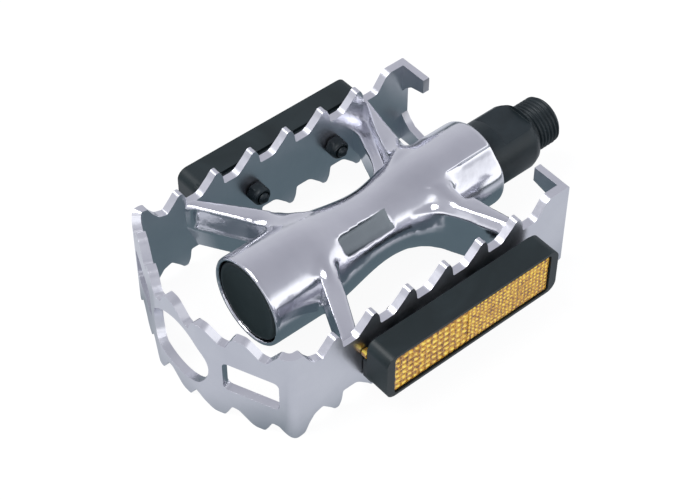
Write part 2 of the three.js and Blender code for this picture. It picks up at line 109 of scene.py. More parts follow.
def make_floor():
    half_size = 6.0
    cage_middle = -0.066
    painted_shadow_edges = (("X", 0.05, 0.066), ("Y", 0.026, 0.04))
    painted_shadow_colour = (0.13, 0.18, 0.205, 1)
    paper_near, paper_far, room = (0.74, 0.76, 0.81), (0.66, 0.69, 0.75), (0.12, 0.15, 0.17)
    shape = bmesh.new()
    bmesh.ops.create_grid(shape, x_segments=1, y_segments=1, size=half_size)
    bmesh.ops.translate(shape, vec=(0, 0, cad_box[0].z), verts=shape.verts)
    mesh = bpy.data.meshes.new("floor")
    shape.to_mesh(mesh)
    shape.free()
    floor = bpy.data.objects.new("floor", mesh)
    scene.collection.objects.link(floor)
    material = bpy.data.materials.new("pale_sweep")
    add, link = node_maker(material)
    place = add("ShaderNodeNewGeometry")
    centred = add("ShaderNodeMapping", inputs={"Location": (-cage_middle, 0, 0), "Scale": (1, 1, 0)})
    link(place.outputs["Position"], centred.inputs["Vector"])
    away = add("ShaderNodeVectorMath", {"operation": "ABSOLUTE"})
    link(centred.outputs["Vector"], away.inputs[0])
    axes = add("ShaderNodeSeparateXYZ")
    link(away.outputs["Vector"], axes.inputs["Vector"])
    outside = add("ShaderNodeMath", {"operation": "MAXIMUM"})
    for socket, (axis, near, far) in enumerate(painted_shadow_edges):
        past = add("ShaderNodeMapRange", inputs={"From Min": near, "From Max": far})
        link(axes.outputs[axis], past.inputs["Value"])
        link(past.outputs["Result"], outside.inputs[socket])
    reach = add("ShaderNodeVectorMath", {"operation": "LENGTH"})
    link(centred.outputs["Vector"], reach.inputs[0])
    fade = add("ShaderNodeValToRGB")
    set_ramp(fade, [(0.0, paper_near), (0.11, paper_far), (0.22, room)])
    link(reach.outputs["Value"], fade.inputs["Fac"])
    # Inside the box under the cage, the floor seen in reflections takes a painted shadow colour.
    with_painted_shadow = add("ShaderNodeMix", {"data_type": "RGBA"})
    link(outside.outputs["Value"], with_painted_shadow.inputs["Factor"])
    with_painted_shadow.inputs["A"].default_value = painted_shadow_colour
    link(fade.outputs["Color"], with_painted_shadow.inputs["B"])
    pale = add("ShaderNodeBsdfDiffuse", inputs={"Color": (0.9, 0.9, 0.9, 1)})
    paper = add("ShaderNodeEmission", inputs={"Color": (0.99, 0.99, 0.99, 1), "Strength": 1.05})
    washed = add("ShaderNodeMixShader", inputs={"Fac": 0.9})
    link(pale.outputs["BSDF"], washed.inputs[1])
    link(paper.outputs["Emission"], washed.inputs[2])
    seen = add("ShaderNodeEmission")
    link(with_painted_shadow.outputs["Result"], seen.inputs["Color"])
    rays = add("ShaderNodeLightPath")
    looked_at = add("ShaderNodeMixShader")
    link(rays.outputs["Is Camera Ray"], looked_at.inputs["Fac"])
    link(pale.outputs["BSDF"], looked_at.inputs[1])
    link(washed.outputs["Shader"], looked_at.inputs[2])
    either = add("ShaderNodeMixShader")
    link(rays.outputs["Is Glossy Ray"], either.inputs["Fac"])
    link(looked_at.outputs["Shader"], either.inputs[1])
    link(seen.outputs["Emission"], either.inputs[2])
    output = add("ShaderNodeOutputMaterial")
    link(either.outputs["Shader"], output.inputs["Surface"])
    mesh.materials.append(material)


def make_sky():
    world = bpy.data.worlds.new("studio")
    scene.world = world
    add, link = node_maker(world)
    direction = add("ShaderNodeTexCoord")
    split = add("ShaderNodeSeparateXYZ")
    link(direction.outputs["Generated"], split.inputs["Vector"])
    height = add("ShaderNodeMapRange", inputs={"From Min": -1.0, "From Max": 1.0})
    link(split.outputs["Z"], height.inputs["Value"])
    below = (0.09, 0.115, 0.13)
    overhead = (0.47, 0.475, 0.53)
    behind = [(0.51, (0.74, 0.75, 0.8)), (0.8, (0.62, 0.625, 0.685))]
    in_front = [(0.51, (1.6, 1.61, 1.64)), (0.72, (1.5, 1.51, 1.55)), (0.81, (0.58, 0.59, 0.65))]
    sides = []
    for middle_stops in (behind, in_front):
        shade = add("ShaderNodeValToRGB")
        set_ramp(shade, [(0.0, below), (0.5, below), *middle_stops, (1.0, overhead)])
        link(height.outputs["Result"], shade.inputs["Fac"])
        sides.append(shade)
    frontward = add("ShaderNodeMapRange", inputs={"From Min": 0.1, "From Max": -0.45})
    link(split.outputs["Y"], frontward.inputs["Value"])
    both = add("ShaderNodeMix", {"data_type": "RGBA"})
    link(frontward.outputs["Result"], both.inputs["Factor"])
    for socket, shade in zip("AB", sides):
        link(shade.outputs["Color"], both.inputs[socket])
    sky = add("ShaderNodeBackground")
    link(both.outputs["Result"], sky.inputs["Color"])
    backdrop = add("ShaderNodeBackground", inputs={"Color": (0.93, 0.93, 0.93, 1)})
    rays = add("ShaderNodeLightPath")
    either = add("ShaderNodeMixShader")
    link(rays.outputs["Is Camera Ray"], either.inputs["Fac"])
    link(sky.outputs["Background"], either.inputs[1])
    link(backdrop.outputs["Background"], either.inputs[2])
    output = add("ShaderNodeOutputWorld")
    link(either.outputs["Shader"], output.inputs["Surface"])


def make_light(name, spot, size, power):
    lamp = bpy.data.lights.new(name, "AREA")
    lamp.shape = "DISK"
    lamp.size = size
    lamp.energy = power
    light = bpy.data.objects.new(name, lamp)
    light.location = spot
    light.rotation_euler = (-Vector(spot)).to_track_quat("-Z", "Y").to_euler()
    scene.collection.objects.link(light)


make_floor()
make_sky()
make_light("soft_box", spot=(-0.5, 0.25, 0.9), size=0.6, power=7)


# ---- Cage: the casting's side plates, bow and hooks ----
# Part of the one-piece aluminium casting: a 2.4 mm wall that runs up the front plate, round the toothed
# bow and down the rear plate, with short hooks turned in at the crank end. It is drawn flat, pierced,
# given its thickness and folded round the cage's corners.
barrel_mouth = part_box("pedal_body")[0].x + 0.0216


def settle(shape, name):
    """Makes a finished piece of a shape drawn in millimetres from the barrel's mouth."""
    to_frame = Matrix.Translation((barrel_mouth, 0, 0)) @ Matrix.Scale(0.001, 4)
    bmesh.ops.transform(shape, matrix=to_frame, verts=shape.verts)
    mesh = bpy.data.meshes.new(name)
    shape.to_mesh(mesh)
    shape.free()
    piece = bpy.data.objects.new(name, mesh)
    scene.collection.objects.link(piece)
    return piece


def finish_piece(piece, material, body, slot, *nodes):
    """Shades a piece, gives it its material, and sets it on its body in place of its CAD nodes. The slot is
    not used.
    """
    piece.data.shade_smooth()
    piece.data.materials.append(material)
    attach(piece, body)
    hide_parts(*nodes)


def rectangle(low, high):
    """The corners of a rectangle between two opposite ones."""
    return [low, (high[0], low[1]), high, (low[0], high[1])]


def add_face(shape, points):
    """Adds one face through points of two or three numbers."""
    return shape.faces.new([shape.verts.new((*p, 0) if len(p) == 2 else p) for p in points])


def round_corners(shape, verts, radius, segments=3):
    bmesh.ops.bevel(shape, geom=verts, offset=radius, segments=segments, profile=0.5,
                    affect="VERTICES", clamp_overlap=True, material=-1)


def soften(shape, radius, sharper_than=35, segments=2, edges=None):
    """Rounds the edges, or those given, that turn more than an angle in degrees."""
    limit = math.radians(sharper_than)
    chosen = [e for e in (edges or shape.edges) if e.is_manifold and e.calc_face_angle(0) > limit]
    bmesh.ops.bevel(shape, geom=chosen, offset=radius, segments=segments, profile=0.5,
                    affect="EDGES", clamp_overlap=True, material=-1)


def keep_flats_flat(piece):
    """Leaves the shading of large faces flat and puts the turn in the rounded edges between them."""
    weighted = piece.modifiers.new("flat_faces", "WEIGHTED_NORMAL")
    weighted.keep_sharp = True
    weighted.weight = 80


# The bow runs straight across at its tip, bends back by the slant on both sides, and meets the plates
# in rounded corners.
WALL = 2.4
HALF_WIDTH = 32.6
PLATE_END = 81.8
PLATE_TOP = 14.0
BOW_X = -21.6
BEND_R = 6.0
BEND_Y = 7.6
CORNER_R = 4.0
SLANT = math.radians(23.2)
BOLTS_AT = (26.6, 54.0)
BOLT_HOLE_R = 2.05


def wall_route():
    """The wall's outer and inner lines from the front plate's crank end to the rear one's, how far along
    the wall each of their points is from the bow's middle, and where the plates start."""
    bend_x = BOW_X + BEND_R
    corner_y = CORNER_R - HALF_WIDTH
    offset = BEND_R - bend_x * math.cos(SLANT) + BEND_Y * math.sin(SLANT)
    corner_x = (CORNER_R - corner_y * math.sin(SLANT) - offset) / math.cos(SLANT)
    half = [((PLATE_END, -HALF_WIDTH), (0, -1))]
    for steps, centre, radius, turns in (
        (8, (corner_x, corner_y), CORNER_R, (math.pi / 2, SLANT)),
        (5, (bend_x, -BEND_Y), BEND_R, (SLANT, 0.0)),
    ):
        for k in range(steps + 1):
            turn = turns[0] + (turns[1] - turns[0]) * k / steps
            away = (-math.cos(turn), -math.sin(turn))
            half.append(((centre[0] + radius * away[0], centre[1] + radius * away[1]), away))
    full = half + [((x, -y), (nx, -ny)) for (x, y), (nx, ny) in reversed(half)]
    outer = [Vector((*p, 0)) for p, n in full]
    inner = [Vector((*p, 0)) - WALL * Vector((*n, 0)) for p, n in full]
    travel = [0.0]
    for a, b in zip(outer, outer[1:]):
        travel.append(travel[-1] + (b - a).length)
    middle = travel[-1] / 2
    return outer, inner, [t - middle for t in travel], corner_x


outer_line, inner_line, stations, corner_x = wall_route()


def fold(vert):
    """Takes a vertex from the flat drawing (along the wall, height, depth) to its place in the cage."""
    along, height, depth = vert.co
    k = max(i for i in range(len(stations) - 1) if stations[i] <= along + 1e-6 or i == 0)
    share = (along - stations[k]) / (stations[k + 1] - stations[k])
    at_face = outer_line[k].lerp(outer_line[k + 1], share)
    at_back = inner_line[k].lerp(inner_line[k + 1], share)
    place = at_face.lerp(at_back, depth / WALL)
    vert.co = (place.x, place.y, height)


def on_plate(x, side):
    """How far along the wall a point of the front (-1) or rear (1) plate is."""
    return side * (stations[-2] + x - corner_x)


def wall_edge():
    """The wall's top edge, from the front plate's crank end to the rear one's."""
    tooth_pitch, first_valley, valley_z = 12.1, 5.0, 8.5
    bow_pitch, first_bow_tooth = 11.4, -19.8
    tooth = [(-6.9, 0.6), (-3.9, 3.5), (-2.7, 5.0), (-1.4, 5.1), (-0.5, 3.2), (0.0, 0.0), (4.1, 0.0)]
    plate = [(-7.4, 15.1), (-6.0, 12.4), (-4.2, 10.1), (-1.6, 9.2)]
    for k in range(6):
        valley = first_valley + tooth_pitch * k
        plate += [(valley + dx, valley_z + dz) for dx, dz in tooth[1 if k == 0 else 0:]]
    plate += [(70.7, 9.2), (73.4, 13.1), (74.9, PLATE_TOP), (PLATE_END, PLATE_TOP)]
    bow_tooth = [(-8.2, 11.3), (-6.3, 11.6), (-2.7, 14.9), (-1.5, 15.5), (1.0, 15.5), (2.1, 13.6)]
    bow = [(-31.2, 15.5), (-29.8, 13.7)]
    for k in range(5):
        bow += [(first_bow_tooth + bow_pitch * k + ds, z) for ds, z in bow_tooth]
    bow += [(29.0, 11.3), (30.9, 11.6), (34.2, 14.9), (35.4, 15.5)]
    front = [(on_plate(x, -1), z) for x, z in reversed(plate)]
    rear = [(on_plate(x, 1), z) for x, z in plate]
    return front + bow + rear


def ellipse(centre, half_width, half_height, count=48):
    turns = [2 * math.pi * k / count for k in range(count)]
    return [(centre + half_width * math.cos(t), half_height * math.sin(t)) for t in turns]


def disc(centre, radius, count):
    return ellipse(centre, radius, radius, count)


def laid_in_order(shape):
    """The same mesh with its faces in a fixed order, so that the operators after it repeat exactly."""
    shape.verts.index_update()
    rings = []
    for face in shape.faces:
        ring = [v.index for v in face.verts]
        start = ring.index(min(ring))
        rings.append(ring[start:] + ring[:start])
    ordered = bmesh.new()
    verts = [ordered.verts.new(v.co) for v in shape.verts]
    for ring in sorted(rings):
        ordered.faces.new([verts[k] for k in ring])
    ordered.normal_update()
    shape.free()
    return ordered


def cage_wall():
    """The wall, pierced by the bow's oval hole and two slots and by the reflector bolts' holes."""
    drawing = bmesh.new()
    top = wall_edge()
    add_face(drawing, top + [(-s, -z) for s, z in top])
    round_corners(drawing, list(drawing.verts), 0.5)
    add_face(drawing, ellipse(0, 11.4, 9.9))
    for side in (-1, 1):
        slot = bmesh.new()
        add_face(slot, rectangle((15.4, -5), (31.2, 5)))
        round_corners(slot, list(slot.verts), 1.5, 5)
        bmesh.ops.scale(slot, vec=(side, 1, 1), verts=slot.verts)
        add_face(drawing, [(v.co.x, v.co.y) for v in slot.faces[:][0].verts])
        slot.free()
        for x in BOLTS_AT:
            add_face(drawing, disc(on_plate(x, side), BOLT_HOLE_R, 24))
    bmesh.ops.delete(drawing, geom=drawing.faces[:], context="FACES_ONLY")
    bmesh.ops.triangle_fill(drawing, use_beauty=True, edges=drawing.edges[:])
    for station in stations[1:-1]:
        everything = drawing.verts[:] + drawing.edges[:] + drawing.faces[:]
        bmesh.ops.bisect_plane(drawing, geom=everything, plane_co=(station, 0, 0), plane_no=(1, 0, 0))
    grown = bmesh.ops.extrude_face_region(drawing, geom=drawing.faces[:])
    raised = [g for g in grown["geom"] if isinstance(g, bmesh.types.BMVert)]
    bmesh.ops.translate(drawing, vec=(0, 0, WALL), verts=raised)
    for vert in drawing.verts:
        fold(vert)
    bmesh.ops.remove_doubles(drawing, verts=drawing.verts, dist=1e-4)
    bmesh.ops.recalc_face_normals(drawing, faces=drawing.faces)
    drawing = laid_in_order(drawing)
    bmesh.ops.dissolve_limit(drawing, angle_limit=math.radians(0.6), verts=drawing.verts, edges=drawing.edges)
    return drawing


def turn_in_hooks(shape):
    """Draws the four hooks out of the plates' inner faces, each tapering in height as it reaches in."""
    hook_start = PLATE_END - 2.2
    root_low = 4.4
    reaches_and_lows = ((1.5, 6.4), (3.6, 8.2), (8.4, 9.3))
    inside = HALF_WIDTH - WALL
    for plane, normal in (((hook_start, 0, 0), (1, 0, 0)), ((0, 0, root_low), (0, 0, 1)),
                          ((0, 0, -root_low), (0, 0, 1))):
        everything = shape.verts[:] + shape.edges[:] + shape.faces[:]
        bmesh.ops.bisect_plane(shape, geom=everything, plane_co=plane, plane_no=normal)
    for side in (-1, 1):
        for up in (-1, 1):
            reach, low = 0.0, root_low
            faces = [
                f for f in shape.faces
                if all(v.co.x > hook_start - 0.01 and v.co.z * up > root_low - 0.01
                       and abs(v.co.y - side * inside) < 0.01 for v in f.verts)]
            for next_reach, next_low in reaches_and_lows:
                edges = list(dict.fromkeys(e for f in faces for e in f.edges))
                grown = bmesh.ops.extrude_face_region(shape, geom=faces + edges)
                faces = [g for g in grown["geom"] if isinstance(g, bmesh.types.BMFace)]
                verts = [g for g in grown["geom"] if isinstance(g, bmesh.types.BMVert)]
                bmesh.ops.translate(shape, vec=(0, side * (reach - next_reach), 0), verts=verts)
                for vert in verts:
                    share = (PLATE_TOP - vert.co.z * up) / (PLATE_TOP - low)
                    vert.co.z = up * (PLATE_TOP - share * (PLATE_TOP - next_low))
                reach, low = next_reach, next_low


class Surface:
    """A material with one shader, fed by patterns that lie on the piece's own coordinates."""

    def __init__(self, name, **constants):
        self.material = bpy.data.materials.new(name)
        self.add, self.link = node_maker(self.material)
        settings = {socket.replace("_", " "): value for socket, value in constants.items()}
        self.shader = self.add("ShaderNodeBsdfPrincipled", inputs=settings)
        self.place = self.add("ShaderNodeTexCoord")
        output = self.add("ShaderNodeOutputMaterial")
        self.link(self.shader.outputs["BSDF"], output.inputs["Surface"])

    def noise(self, **inputs):
        return self.laid_on(self.add("ShaderNodeTexNoise", inputs=inputs))

    def wave(self, direction, **inputs):
        return self.laid_on(self.add("ShaderNodeTexWave", {"bands_direction": direction}, inputs))

    def laid_on(self, texture):
        self.link(self.place.outputs["Object"], texture.inputs["Vector"])
        return texture

    def colour(self, level, *stops):
        """Colours the shader along a ramp, by a pattern's level."""
        tint = self.add("ShaderNodeValToRGB")
        set_ramp(tint, stops)
        self.link(level, tint.inputs["Fac"])
        self.link(tint.outputs["Color"], self.shader.inputs["Base Color"])

    def roughness(self, level, low, high):
        """Varies the shader's roughness between two values, by a pattern's level."""
        gloss = self.add("ShaderNodeMapRange", inputs={"To Min": low, "To Max": high})
        self.link(level, gloss.inputs["Value"])
        self.link(gloss.outputs["Result"], self.shader.inputs["Roughness"])

    def relief(self, level, strength, distance):
        """Raises the skin by a pattern's level, on top of any relief it already has."""
        bump = self.add("ShaderNodeBump", inputs={"Strength": strength, "Distance": distance})
        self.link(level, bump.inputs["Height"])
        for earlier in self.shader.inputs["Normal"].links:
            self.link(earlier.from_socket, bump.inputs["Normal"])
        self.link(bump.outputs["Normal"], self.shader.inputs["Normal"])


CAST_DULL = (0.66, 0.665, 0.715)
CAST_BRIGHT = (0.72, 0.725, 0.77)


def cast_aluminium(name, gloss_range, grain_strength, dull=CAST_DULL, bright=CAST_BRIGHT):
    """Tumbled and polished casting: soft reflections, a fine skin and slow ripples."""
    surface = Surface(name, Metallic=1.0)
    grain = surface.noise(Scale=2600.0, Detail=4.0).outputs["Fac"]
    cloud = surface.noise(Scale=90.0, Detail=5.0, Roughness=0.6).outputs["Fac"]
    ripple = surface.noise(Scale=260.0, Detail=2.0).outputs["Fac"]
    surface.colour(cloud, (0.3, dull), (0.7, bright))
    surface.roughness(cloud, *gloss_range)
    surface.relief(grain, grain_strength, 0.00012)
    surface.relief(ripple, 0.15, 0.0004)
    return surface.material


wall_shape = cage_wall()
turn_in_hooks(wall_shape)
soften(wall_shape, 0.32)
cage = settle(wall_shape, "cage_wall")
keep_flats_flat(cage)
satin = cast_aluminium("tumbled_aluminium", (0.24, 0.4), 0.12)
finish_piece(cage, satin, "pedal", "cast_aluminium", "pedal_body")


# ---- Barrel and arms: the middle of the casting ----
# The same casting's waisted barrel, bored from both ends for the bearings, and the four arms that carry
# it between the plates. The blocks are joined and cut, then the skin is drawn smooth, as tumbling leaves
# it, with the arms' tops run softly into the barrel.
BARREL_R = 13.05
CRANK_END_R = 12.7
WAIST_R = 9.9
WAIST_X = 42.0
BARREL_END = 79.2
OUTER_SWELL = 25
CRANK_SWELL = 20
PAD_START = 62.5
ARM_TOP = 8.7


def spun(outline, steps=96):
    """Turns an outline of (along, radius) about the spindle's axis; one that leaves the axis is closed."""
    shape = bmesh.new()
    verts = [shape.verts.new((x, 0, radius)) for x, radius in outline]
    edges = [shape.edges.new(pair) for pair in zip(verts, verts[1:])]
    if outline[0][1] > 0:
        edges.append(shape.edges.new((verts[-1], verts[0])))
    bmesh.ops.spin(shape, geom=verts + edges, cent=(0, 0, 0), axis=(1, 0, 0), angle=2 * math.pi,
                   steps=steps, use_merge=True)
    bmesh.ops.remove_doubles(shape, verts=shape.verts, dist=1e-4)
    bmesh.ops.recalc_face_normals(shape, faces=shape.faces)
    return shape


def stacked(*levels):
    """A block whose outline changes as it rises, given as (height, outline) from the bottom up."""
    shape = bmesh.new()
    (height, plan), *higher = levels
    face = add_face(shape, [(x, y, height) for x, y in plan])
    for height, plan in higher:
        grown = bmesh.ops.extrude_face_region(shape, geom=[face, *face.edges])
        face = next(g for g in grown["geom"] if isinstance(g, bmesh.types.BMFace))
        for vert, (x, y) in zip(face.verts, plan):
            vert.co = (x, y, height)
    bmesh.ops.recalc_face_normals(shape, faces=shape.faces)
    return shape


def scratch_mesh(shape):
    mesh = bpy.data.meshes.new("scratch")
    shape.to_mesh(mesh)
    shape.free()
    return mesh


def scratch_object(shape):
    thing = bpy.data.objects.new("scratch", scratch_mesh(shape))
    scene.collection.objects.link(thing)
    return thing


def worked(shape, joined=(), cut=(), skin=None):
    """Joins shapes to a shape, cuts others out of it, and can redraw its skin in facets of one size."""
    base = scratch_object(shape)
    tools = []
    for operation, others in (("UNION", joined), ("DIFFERENCE", cut)):
        for other in others:
            tools.append(scratch_object(other))
            step = base.modifiers.new("work", "BOOLEAN")
            step.operation = operation
            step.solver = "EXACT"
            step.object = tools[-1]
    if skin:
        remesh = base.modifiers.new("skin", "REMESH")
        remesh.mode = "VOXEL"
        remesh.voxel_size = skin
    result = bmesh.new()
    result.from_object(base, bpy.context.evaluated_depsgraph_get())
    for thing in (base, *tools):
        bpy.data.objects.remove(thing)
    return result


def barrel_radius(x):
    """The barrel's radius along its length: it swells in an easy curve from the waist to either end."""
    end_radius, swell = (BARREL_R, OUTER_SWELL) if x < WAIST_X else (CRANK_END_R, CRANK_SWELL)
    away = min(1.0, abs(x - WAIST_X) / swell)
    return WAIST_R + (end_radius - WAIST_R) * away * away * (3 - 2 * away)


def hugging(plan, height, side):
    """Draws an arm's root in to the barrel where the barrel narrows above and below its middle."""
    root_end, root_length = 16.5, 5
    drawn = []
    for x, reach in plan:
        radius = barrel_radius(x)
        narrowing = radius - math.sqrt(radius * radius - height * height)
        nearness = min(1.0, max(0.0, (root_end - reach) / root_length))
        drawn.append((x, side * (reach - narrowing * nearness)))
    return drawn


# Outlines are (along the barrel, distance from its axis). The two arms at the barrel's mouth run in from
# the plate along the outboard side and back out along the other.
FRONT_OUTER = [
    (4.9, 31.5), (5.7, 30.5), (6.9, 28.9), (6.95, 28.8), (11.8, 18.3), (14.6, 12.4), (16.2, 9), (18, 5),
    (25.7, 3.5), (21.8, 9.6), (19.4, 14.4), (16.6, 20.2), (12.2, 28.5), (11.3, 30.3), (11.7, 31.5)]
REAR_OUTER = [
    (2.6, 31.5), (3.9, 30.4), (5.2, 28.6), (5.25, 28.5), (10.2, 20.6), (15.2, 12.4), (17.5, 8.5), (17, 3),
    (30, 3), (27.6, 6.6), (25.4, 9), (19.5, 16.1), (12.8, 24.5), (8, 30.4), (7.6, 31.5)]
RECESSED = slice(3, 8)
FOOT_TO_ROOT = slice(0, 8)


def leaned(plan, part, depth):
    """Moves part of an arm's outboard side in towards the arm's middle."""
    run = (Vector(plan[5]) - Vector(plan[3])).normalized()
    inwards = Vector((-run.y, run.x)) * depth
    moved = list(plan)
    moved[part] = [tuple(Vector(p) + inwards) for p in plan[part]]
    return moved


def outer_arm(plan, side):
    """An arm at the mouth: narrower below, recessed on the outboard side under a flange along its top."""
    bottom = leaned(plan, FOOT_TO_ROOT, 2.6)
    recess_bottom = leaned(plan, RECESSED, 0.4)
    recess_top = leaned(plan, RECESSED, 2.0)
    flange = ARM_TOP - 1.3
    levels = ((-ARM_TOP, bottom), (0.5, plan), (0.8, recess_bottom), (flange, recess_top),
              (flange + 0.02, plan), (ARM_TOP, plan))
    return stacked(*[(height, [(x, side * y) for x, y in outline]) for height, outline in levels])


# The arms at the crank end share a web. Its outlines run in from the plate to the barrel on the side
# towards the waist, and CRANK_SIDE closes them from the barrel back out to the plate.
CRANK_SIDE = [(46, 4), (62.4, 4), (62.5, 9.7), (63.7, 14.5), (65, 20.8), (66.4, 27), (67.3, 31.5)]
WEB = [
    (61.6, 31.5), (61.4, 27.5), (59.5, 23.1), (58.2, 19.6), (56.9, 16.8), (55.3, 14.4), (53.4, 12.8),
    (51.4, 11.8), (49, 11)]
FRONT_RIDGE = [
    (65.2, 31.5), (63.9, 27.6), (61.1, 21.1), (59.6, 18.2), (58.5, 16), (57.6, 13.9), (56.6, 11.6),
    (55.6, 8.6), (54.2, 4.5)]
REAR_FLANGE = [
    (66.6, 31.5), (65.1, 28.6), (61.9, 22.6), (60.4, 19.4), (58.6, 15.6), (57.2, 12.8), (55.9, 10.2),
    (54.9, 8), (53.7, 5)]


def inner_arm(side, top_levels):
    """An arm at the crank end: the web's outline below, and its own outlines from the middle up."""
    levels = [(height, WEB) for height in (-7.8, -5.5, -3, -0.5)] + top_levels
    return stacked(*[(height, hugging(outline + CRANK_SIDE, height, side)) for height, outline in levels])


def front_inner_arm():
    """Slopes up from the web to a narrow ridge."""
    return inner_arm(-1, [(2, WEB), (4.5, WEB), (6.4, WEB), (ARM_TOP, FRONT_RIDGE)])


def rear_inner_arm():
    """Has a thin flange along its top, over a recess."""
    at_plate, *rest = REAR_FLANGE
    recess = [at_plate, *[(x + 1.2, y) for x, y in rest]]
    return inner_arm(1, [(0.5, WEB), (0.9, recess), (4, recess), (7.3, recess), (7.4, REAR_FLANGE),
                         (ARM_TOP, REAR_FLANGE)])


def barrel_blank():
    """The barrel, solid: broken edges at the mouth and the crank end, with the waist between them."""
    steps_along = [17 + 2.5 * k for k in range(11)] + [44 + 2 * k for k in range(10)]
    waist = [(x, barrel_radius(x)) for x in steps_along]
    return spun([(0, 0), (0, 12.8), (0.25, BARREL_R), *waist, (BARREL_END - 1, CRANK_END_R),
                 (BARREL_END, 12.1), (BARREL_END, 0)])


def bearing_bores():
    """What is bored out: the cap's seat, the outer cup's, the core, and the inner cup's at the crank end."""
    cap_bore, cup_bore, core, crank_bore = 11.8, 10.7, 7.4, 11.1
    return spun([(-2, 0), (-2, cap_bore), (6.5, cap_bore), (6.5, cup_bore), (15.2, cup_bore), (15.2, core),
                 (70.2, core), (70.2, crank_bore), (81, crank_bore), (81, 0)])


def along_barrel(outline, start, end):
    """A block with an outline in (across, up), drawn along the barrel."""
    shape = bmesh.new()
    face = add_face(shape, [(start, y, z) for y, z in outline])
    grown = bmesh.ops.extrude_face_region(shape, geom=[face])
    verts = [g for g in grown["geom"] if isinstance(g, bmesh.types.BMVert)]
    bmesh.ops.translate(shape, vec=(end - start, 0, 0), verts=verts)
    bmesh.ops.recalc_face_normals(shape, faces=shape.faces)
    return shape


def both_ways(make):
    """Two of a cutter, the second turned half a turn about the axis."""
    twin = make()
    bmesh.ops.rotate(twin, cent=(0, 0, 0), matrix=Matrix.Rotation(math.pi, 3, "X"), verts=twin.verts)
    return [make(), twin]


# A long shallow pocket in the waist's upper front, and its twin in the lower rear, left as cast; their dark
# colour is painted shade.
POCKET_START = 26.0
POCKET_END = 43.0
POCKET_HALF = 2.7
POCKET_FLOOR = 9.0
POCKET_TILT = math.radians(41)


def waist_pocket():
    plan = rectangle((POCKET_START, -POCKET_HALF), (POCKET_END, POCKET_HALF))
    shape = stacked((POCKET_FLOOR, plan), (20, plan))
    bmesh.ops.rotate(shape, cent=(0, 0, 0), matrix=Matrix.Rotation(POCKET_TILT, 3, "X"), verts=shape.verts)
    return shape


def in_pocket(face):
    """Says whether a facet is on a pocket's floor or walls, below the waist's skin."""
    spot = Matrix.Rotation(-POCKET_TILT, 3, "X") @ face.calc_center_median()
    return (POCKET_START - 0.1 < spot.x < POCKET_END + 0.1 and abs(spot.y) < POCKET_HALF + 0.15
            and POCKET_FLOOR - 0.4 < abs(spot.z) < barrel_radius(spot.x) - 0.45)


def pad_step():
    """What is cut beside the pad on the crank end's top: a 1 mm step that fades out down the side."""
    turns_and_depths = [(61, 0.75), (52, 0.95), (43, 1.0), (36, 0.85), (28, 0.5), (20, 0.2), (12, -0.05)]
    outline = []
    for turn, depth in turns_and_depths:
        angle = math.radians(turn)
        radius = CRANK_END_R - depth
        outline.append((-radius * math.cos(angle), radius * math.sin(angle)))
    outline += [(-15, 2), (-15, 11), (-8.5, 16)]
    return along_barrel(outline, PAD_START, 81)


# Each arm's top near the barrel: its side, a point (along, distance from the axis) on its near edge, one
# on its far edge, and how far along each edge runs for each millimetre of distance.
ARM_ROOTS = ((-1, 11.8, 18.3, 16.6, 20.2, -0.49, -0.49), (1, 10.2, 20.6, 19.5, 16.1, -0.6, -0.83),
             (-1, 58.5, 16, 65, 20.8, 0.45, 0.226), (1, 60.4, 19.4, 65, 20.8, 0.48, 0.226))


def on_root(vert):
    """Says whether a vertex is on an arm's top, near the barrel."""
    reach = abs(vert.co.y)
    faces_up = vert.co.z > ARM_TOP - 0.8 and vert.normal.z > 0.45
    if not (faces_up and 6 < reach < 16.5):
        return False
    for side, near_x, near_reach, far_x, far_reach, near_slope, far_slope in ARM_ROOTS:
        near = near_x + near_slope * (reach - near_reach)
        far = far_x + far_slope * (reach - far_reach)
        if vert.co.y * side > 0 and near < vert.co.x < far:
            return True
    return False


def smoothed(shape, verts, times):
    for _ in range(times):
        bmesh.ops.smooth_vert(shape, verts=verts, factor=0.5, use_axis_x=True, use_axis_y=True,
                              use_axis_z=True)


def draw_smooth(shape):
    """Ramps the arms' tops up to the barrel's, and takes the facets off the casting's skin."""
    ramp_foot, ramp_length, ramp_rise = 16, 7.5, 2.3
    smoothed(shape, shape.verts, 3)
    shape.normal_update()
    roots = [v for v in shape.verts if on_root(v)]
    for vert in roots:
        ramp = min(1.0, max(0.0, (ramp_foot - abs(vert.co.y)) / ramp_length))
        vert.co.z = max(vert.co.z, ARM_TOP + ramp_rise * ramp * ramp)
    smoothed(shape, roots, 12)
    nearby = [
        v for v in shape.verts
        if v.co.z > 7.5 and v.normal.z > 0.3 and 4.5 < abs(v.co.y) < 15
        and (11 < v.co.x < 26.3 or 49 < v.co.x < 68)]
    smoothed(shape, nearby, 40)
    smoothed(shape, shape.verts, 2)


arms = [outer_arm(FRONT_OUTER, -1), outer_arm(REAR_OUTER, 1), front_inner_arm(), rear_inner_arm()]
hollows = [*both_ways(waist_pocket), *both_ways(pad_step), bearing_bores()]
barrel_shape = worked(barrel_blank(), joined=arms, cut=hollows, skin=0.46)
draw_smooth(barrel_shape)
# Pocket facets take the second material, whose dark colour is painted shade.
for facet in barrel_shape.faces:
    facet.material_index = int(in_pocket(facet))
barrel = settle(barrel_shape, "barrel_and_arms")
polished = cast_aluminium("polished_aluminium", (0.1, 0.2), 0.06)
finish_piece(barrel, polished, "pedal", "cast_aluminium", "pedal_body")
barrel.data.materials.append(
    cast_aluminium("pocket_aluminium_painted_shade", (0.45, 0.6), 0.3, (0.19, 0.215, 0.235), (0.25, 0.28, 0.3)))


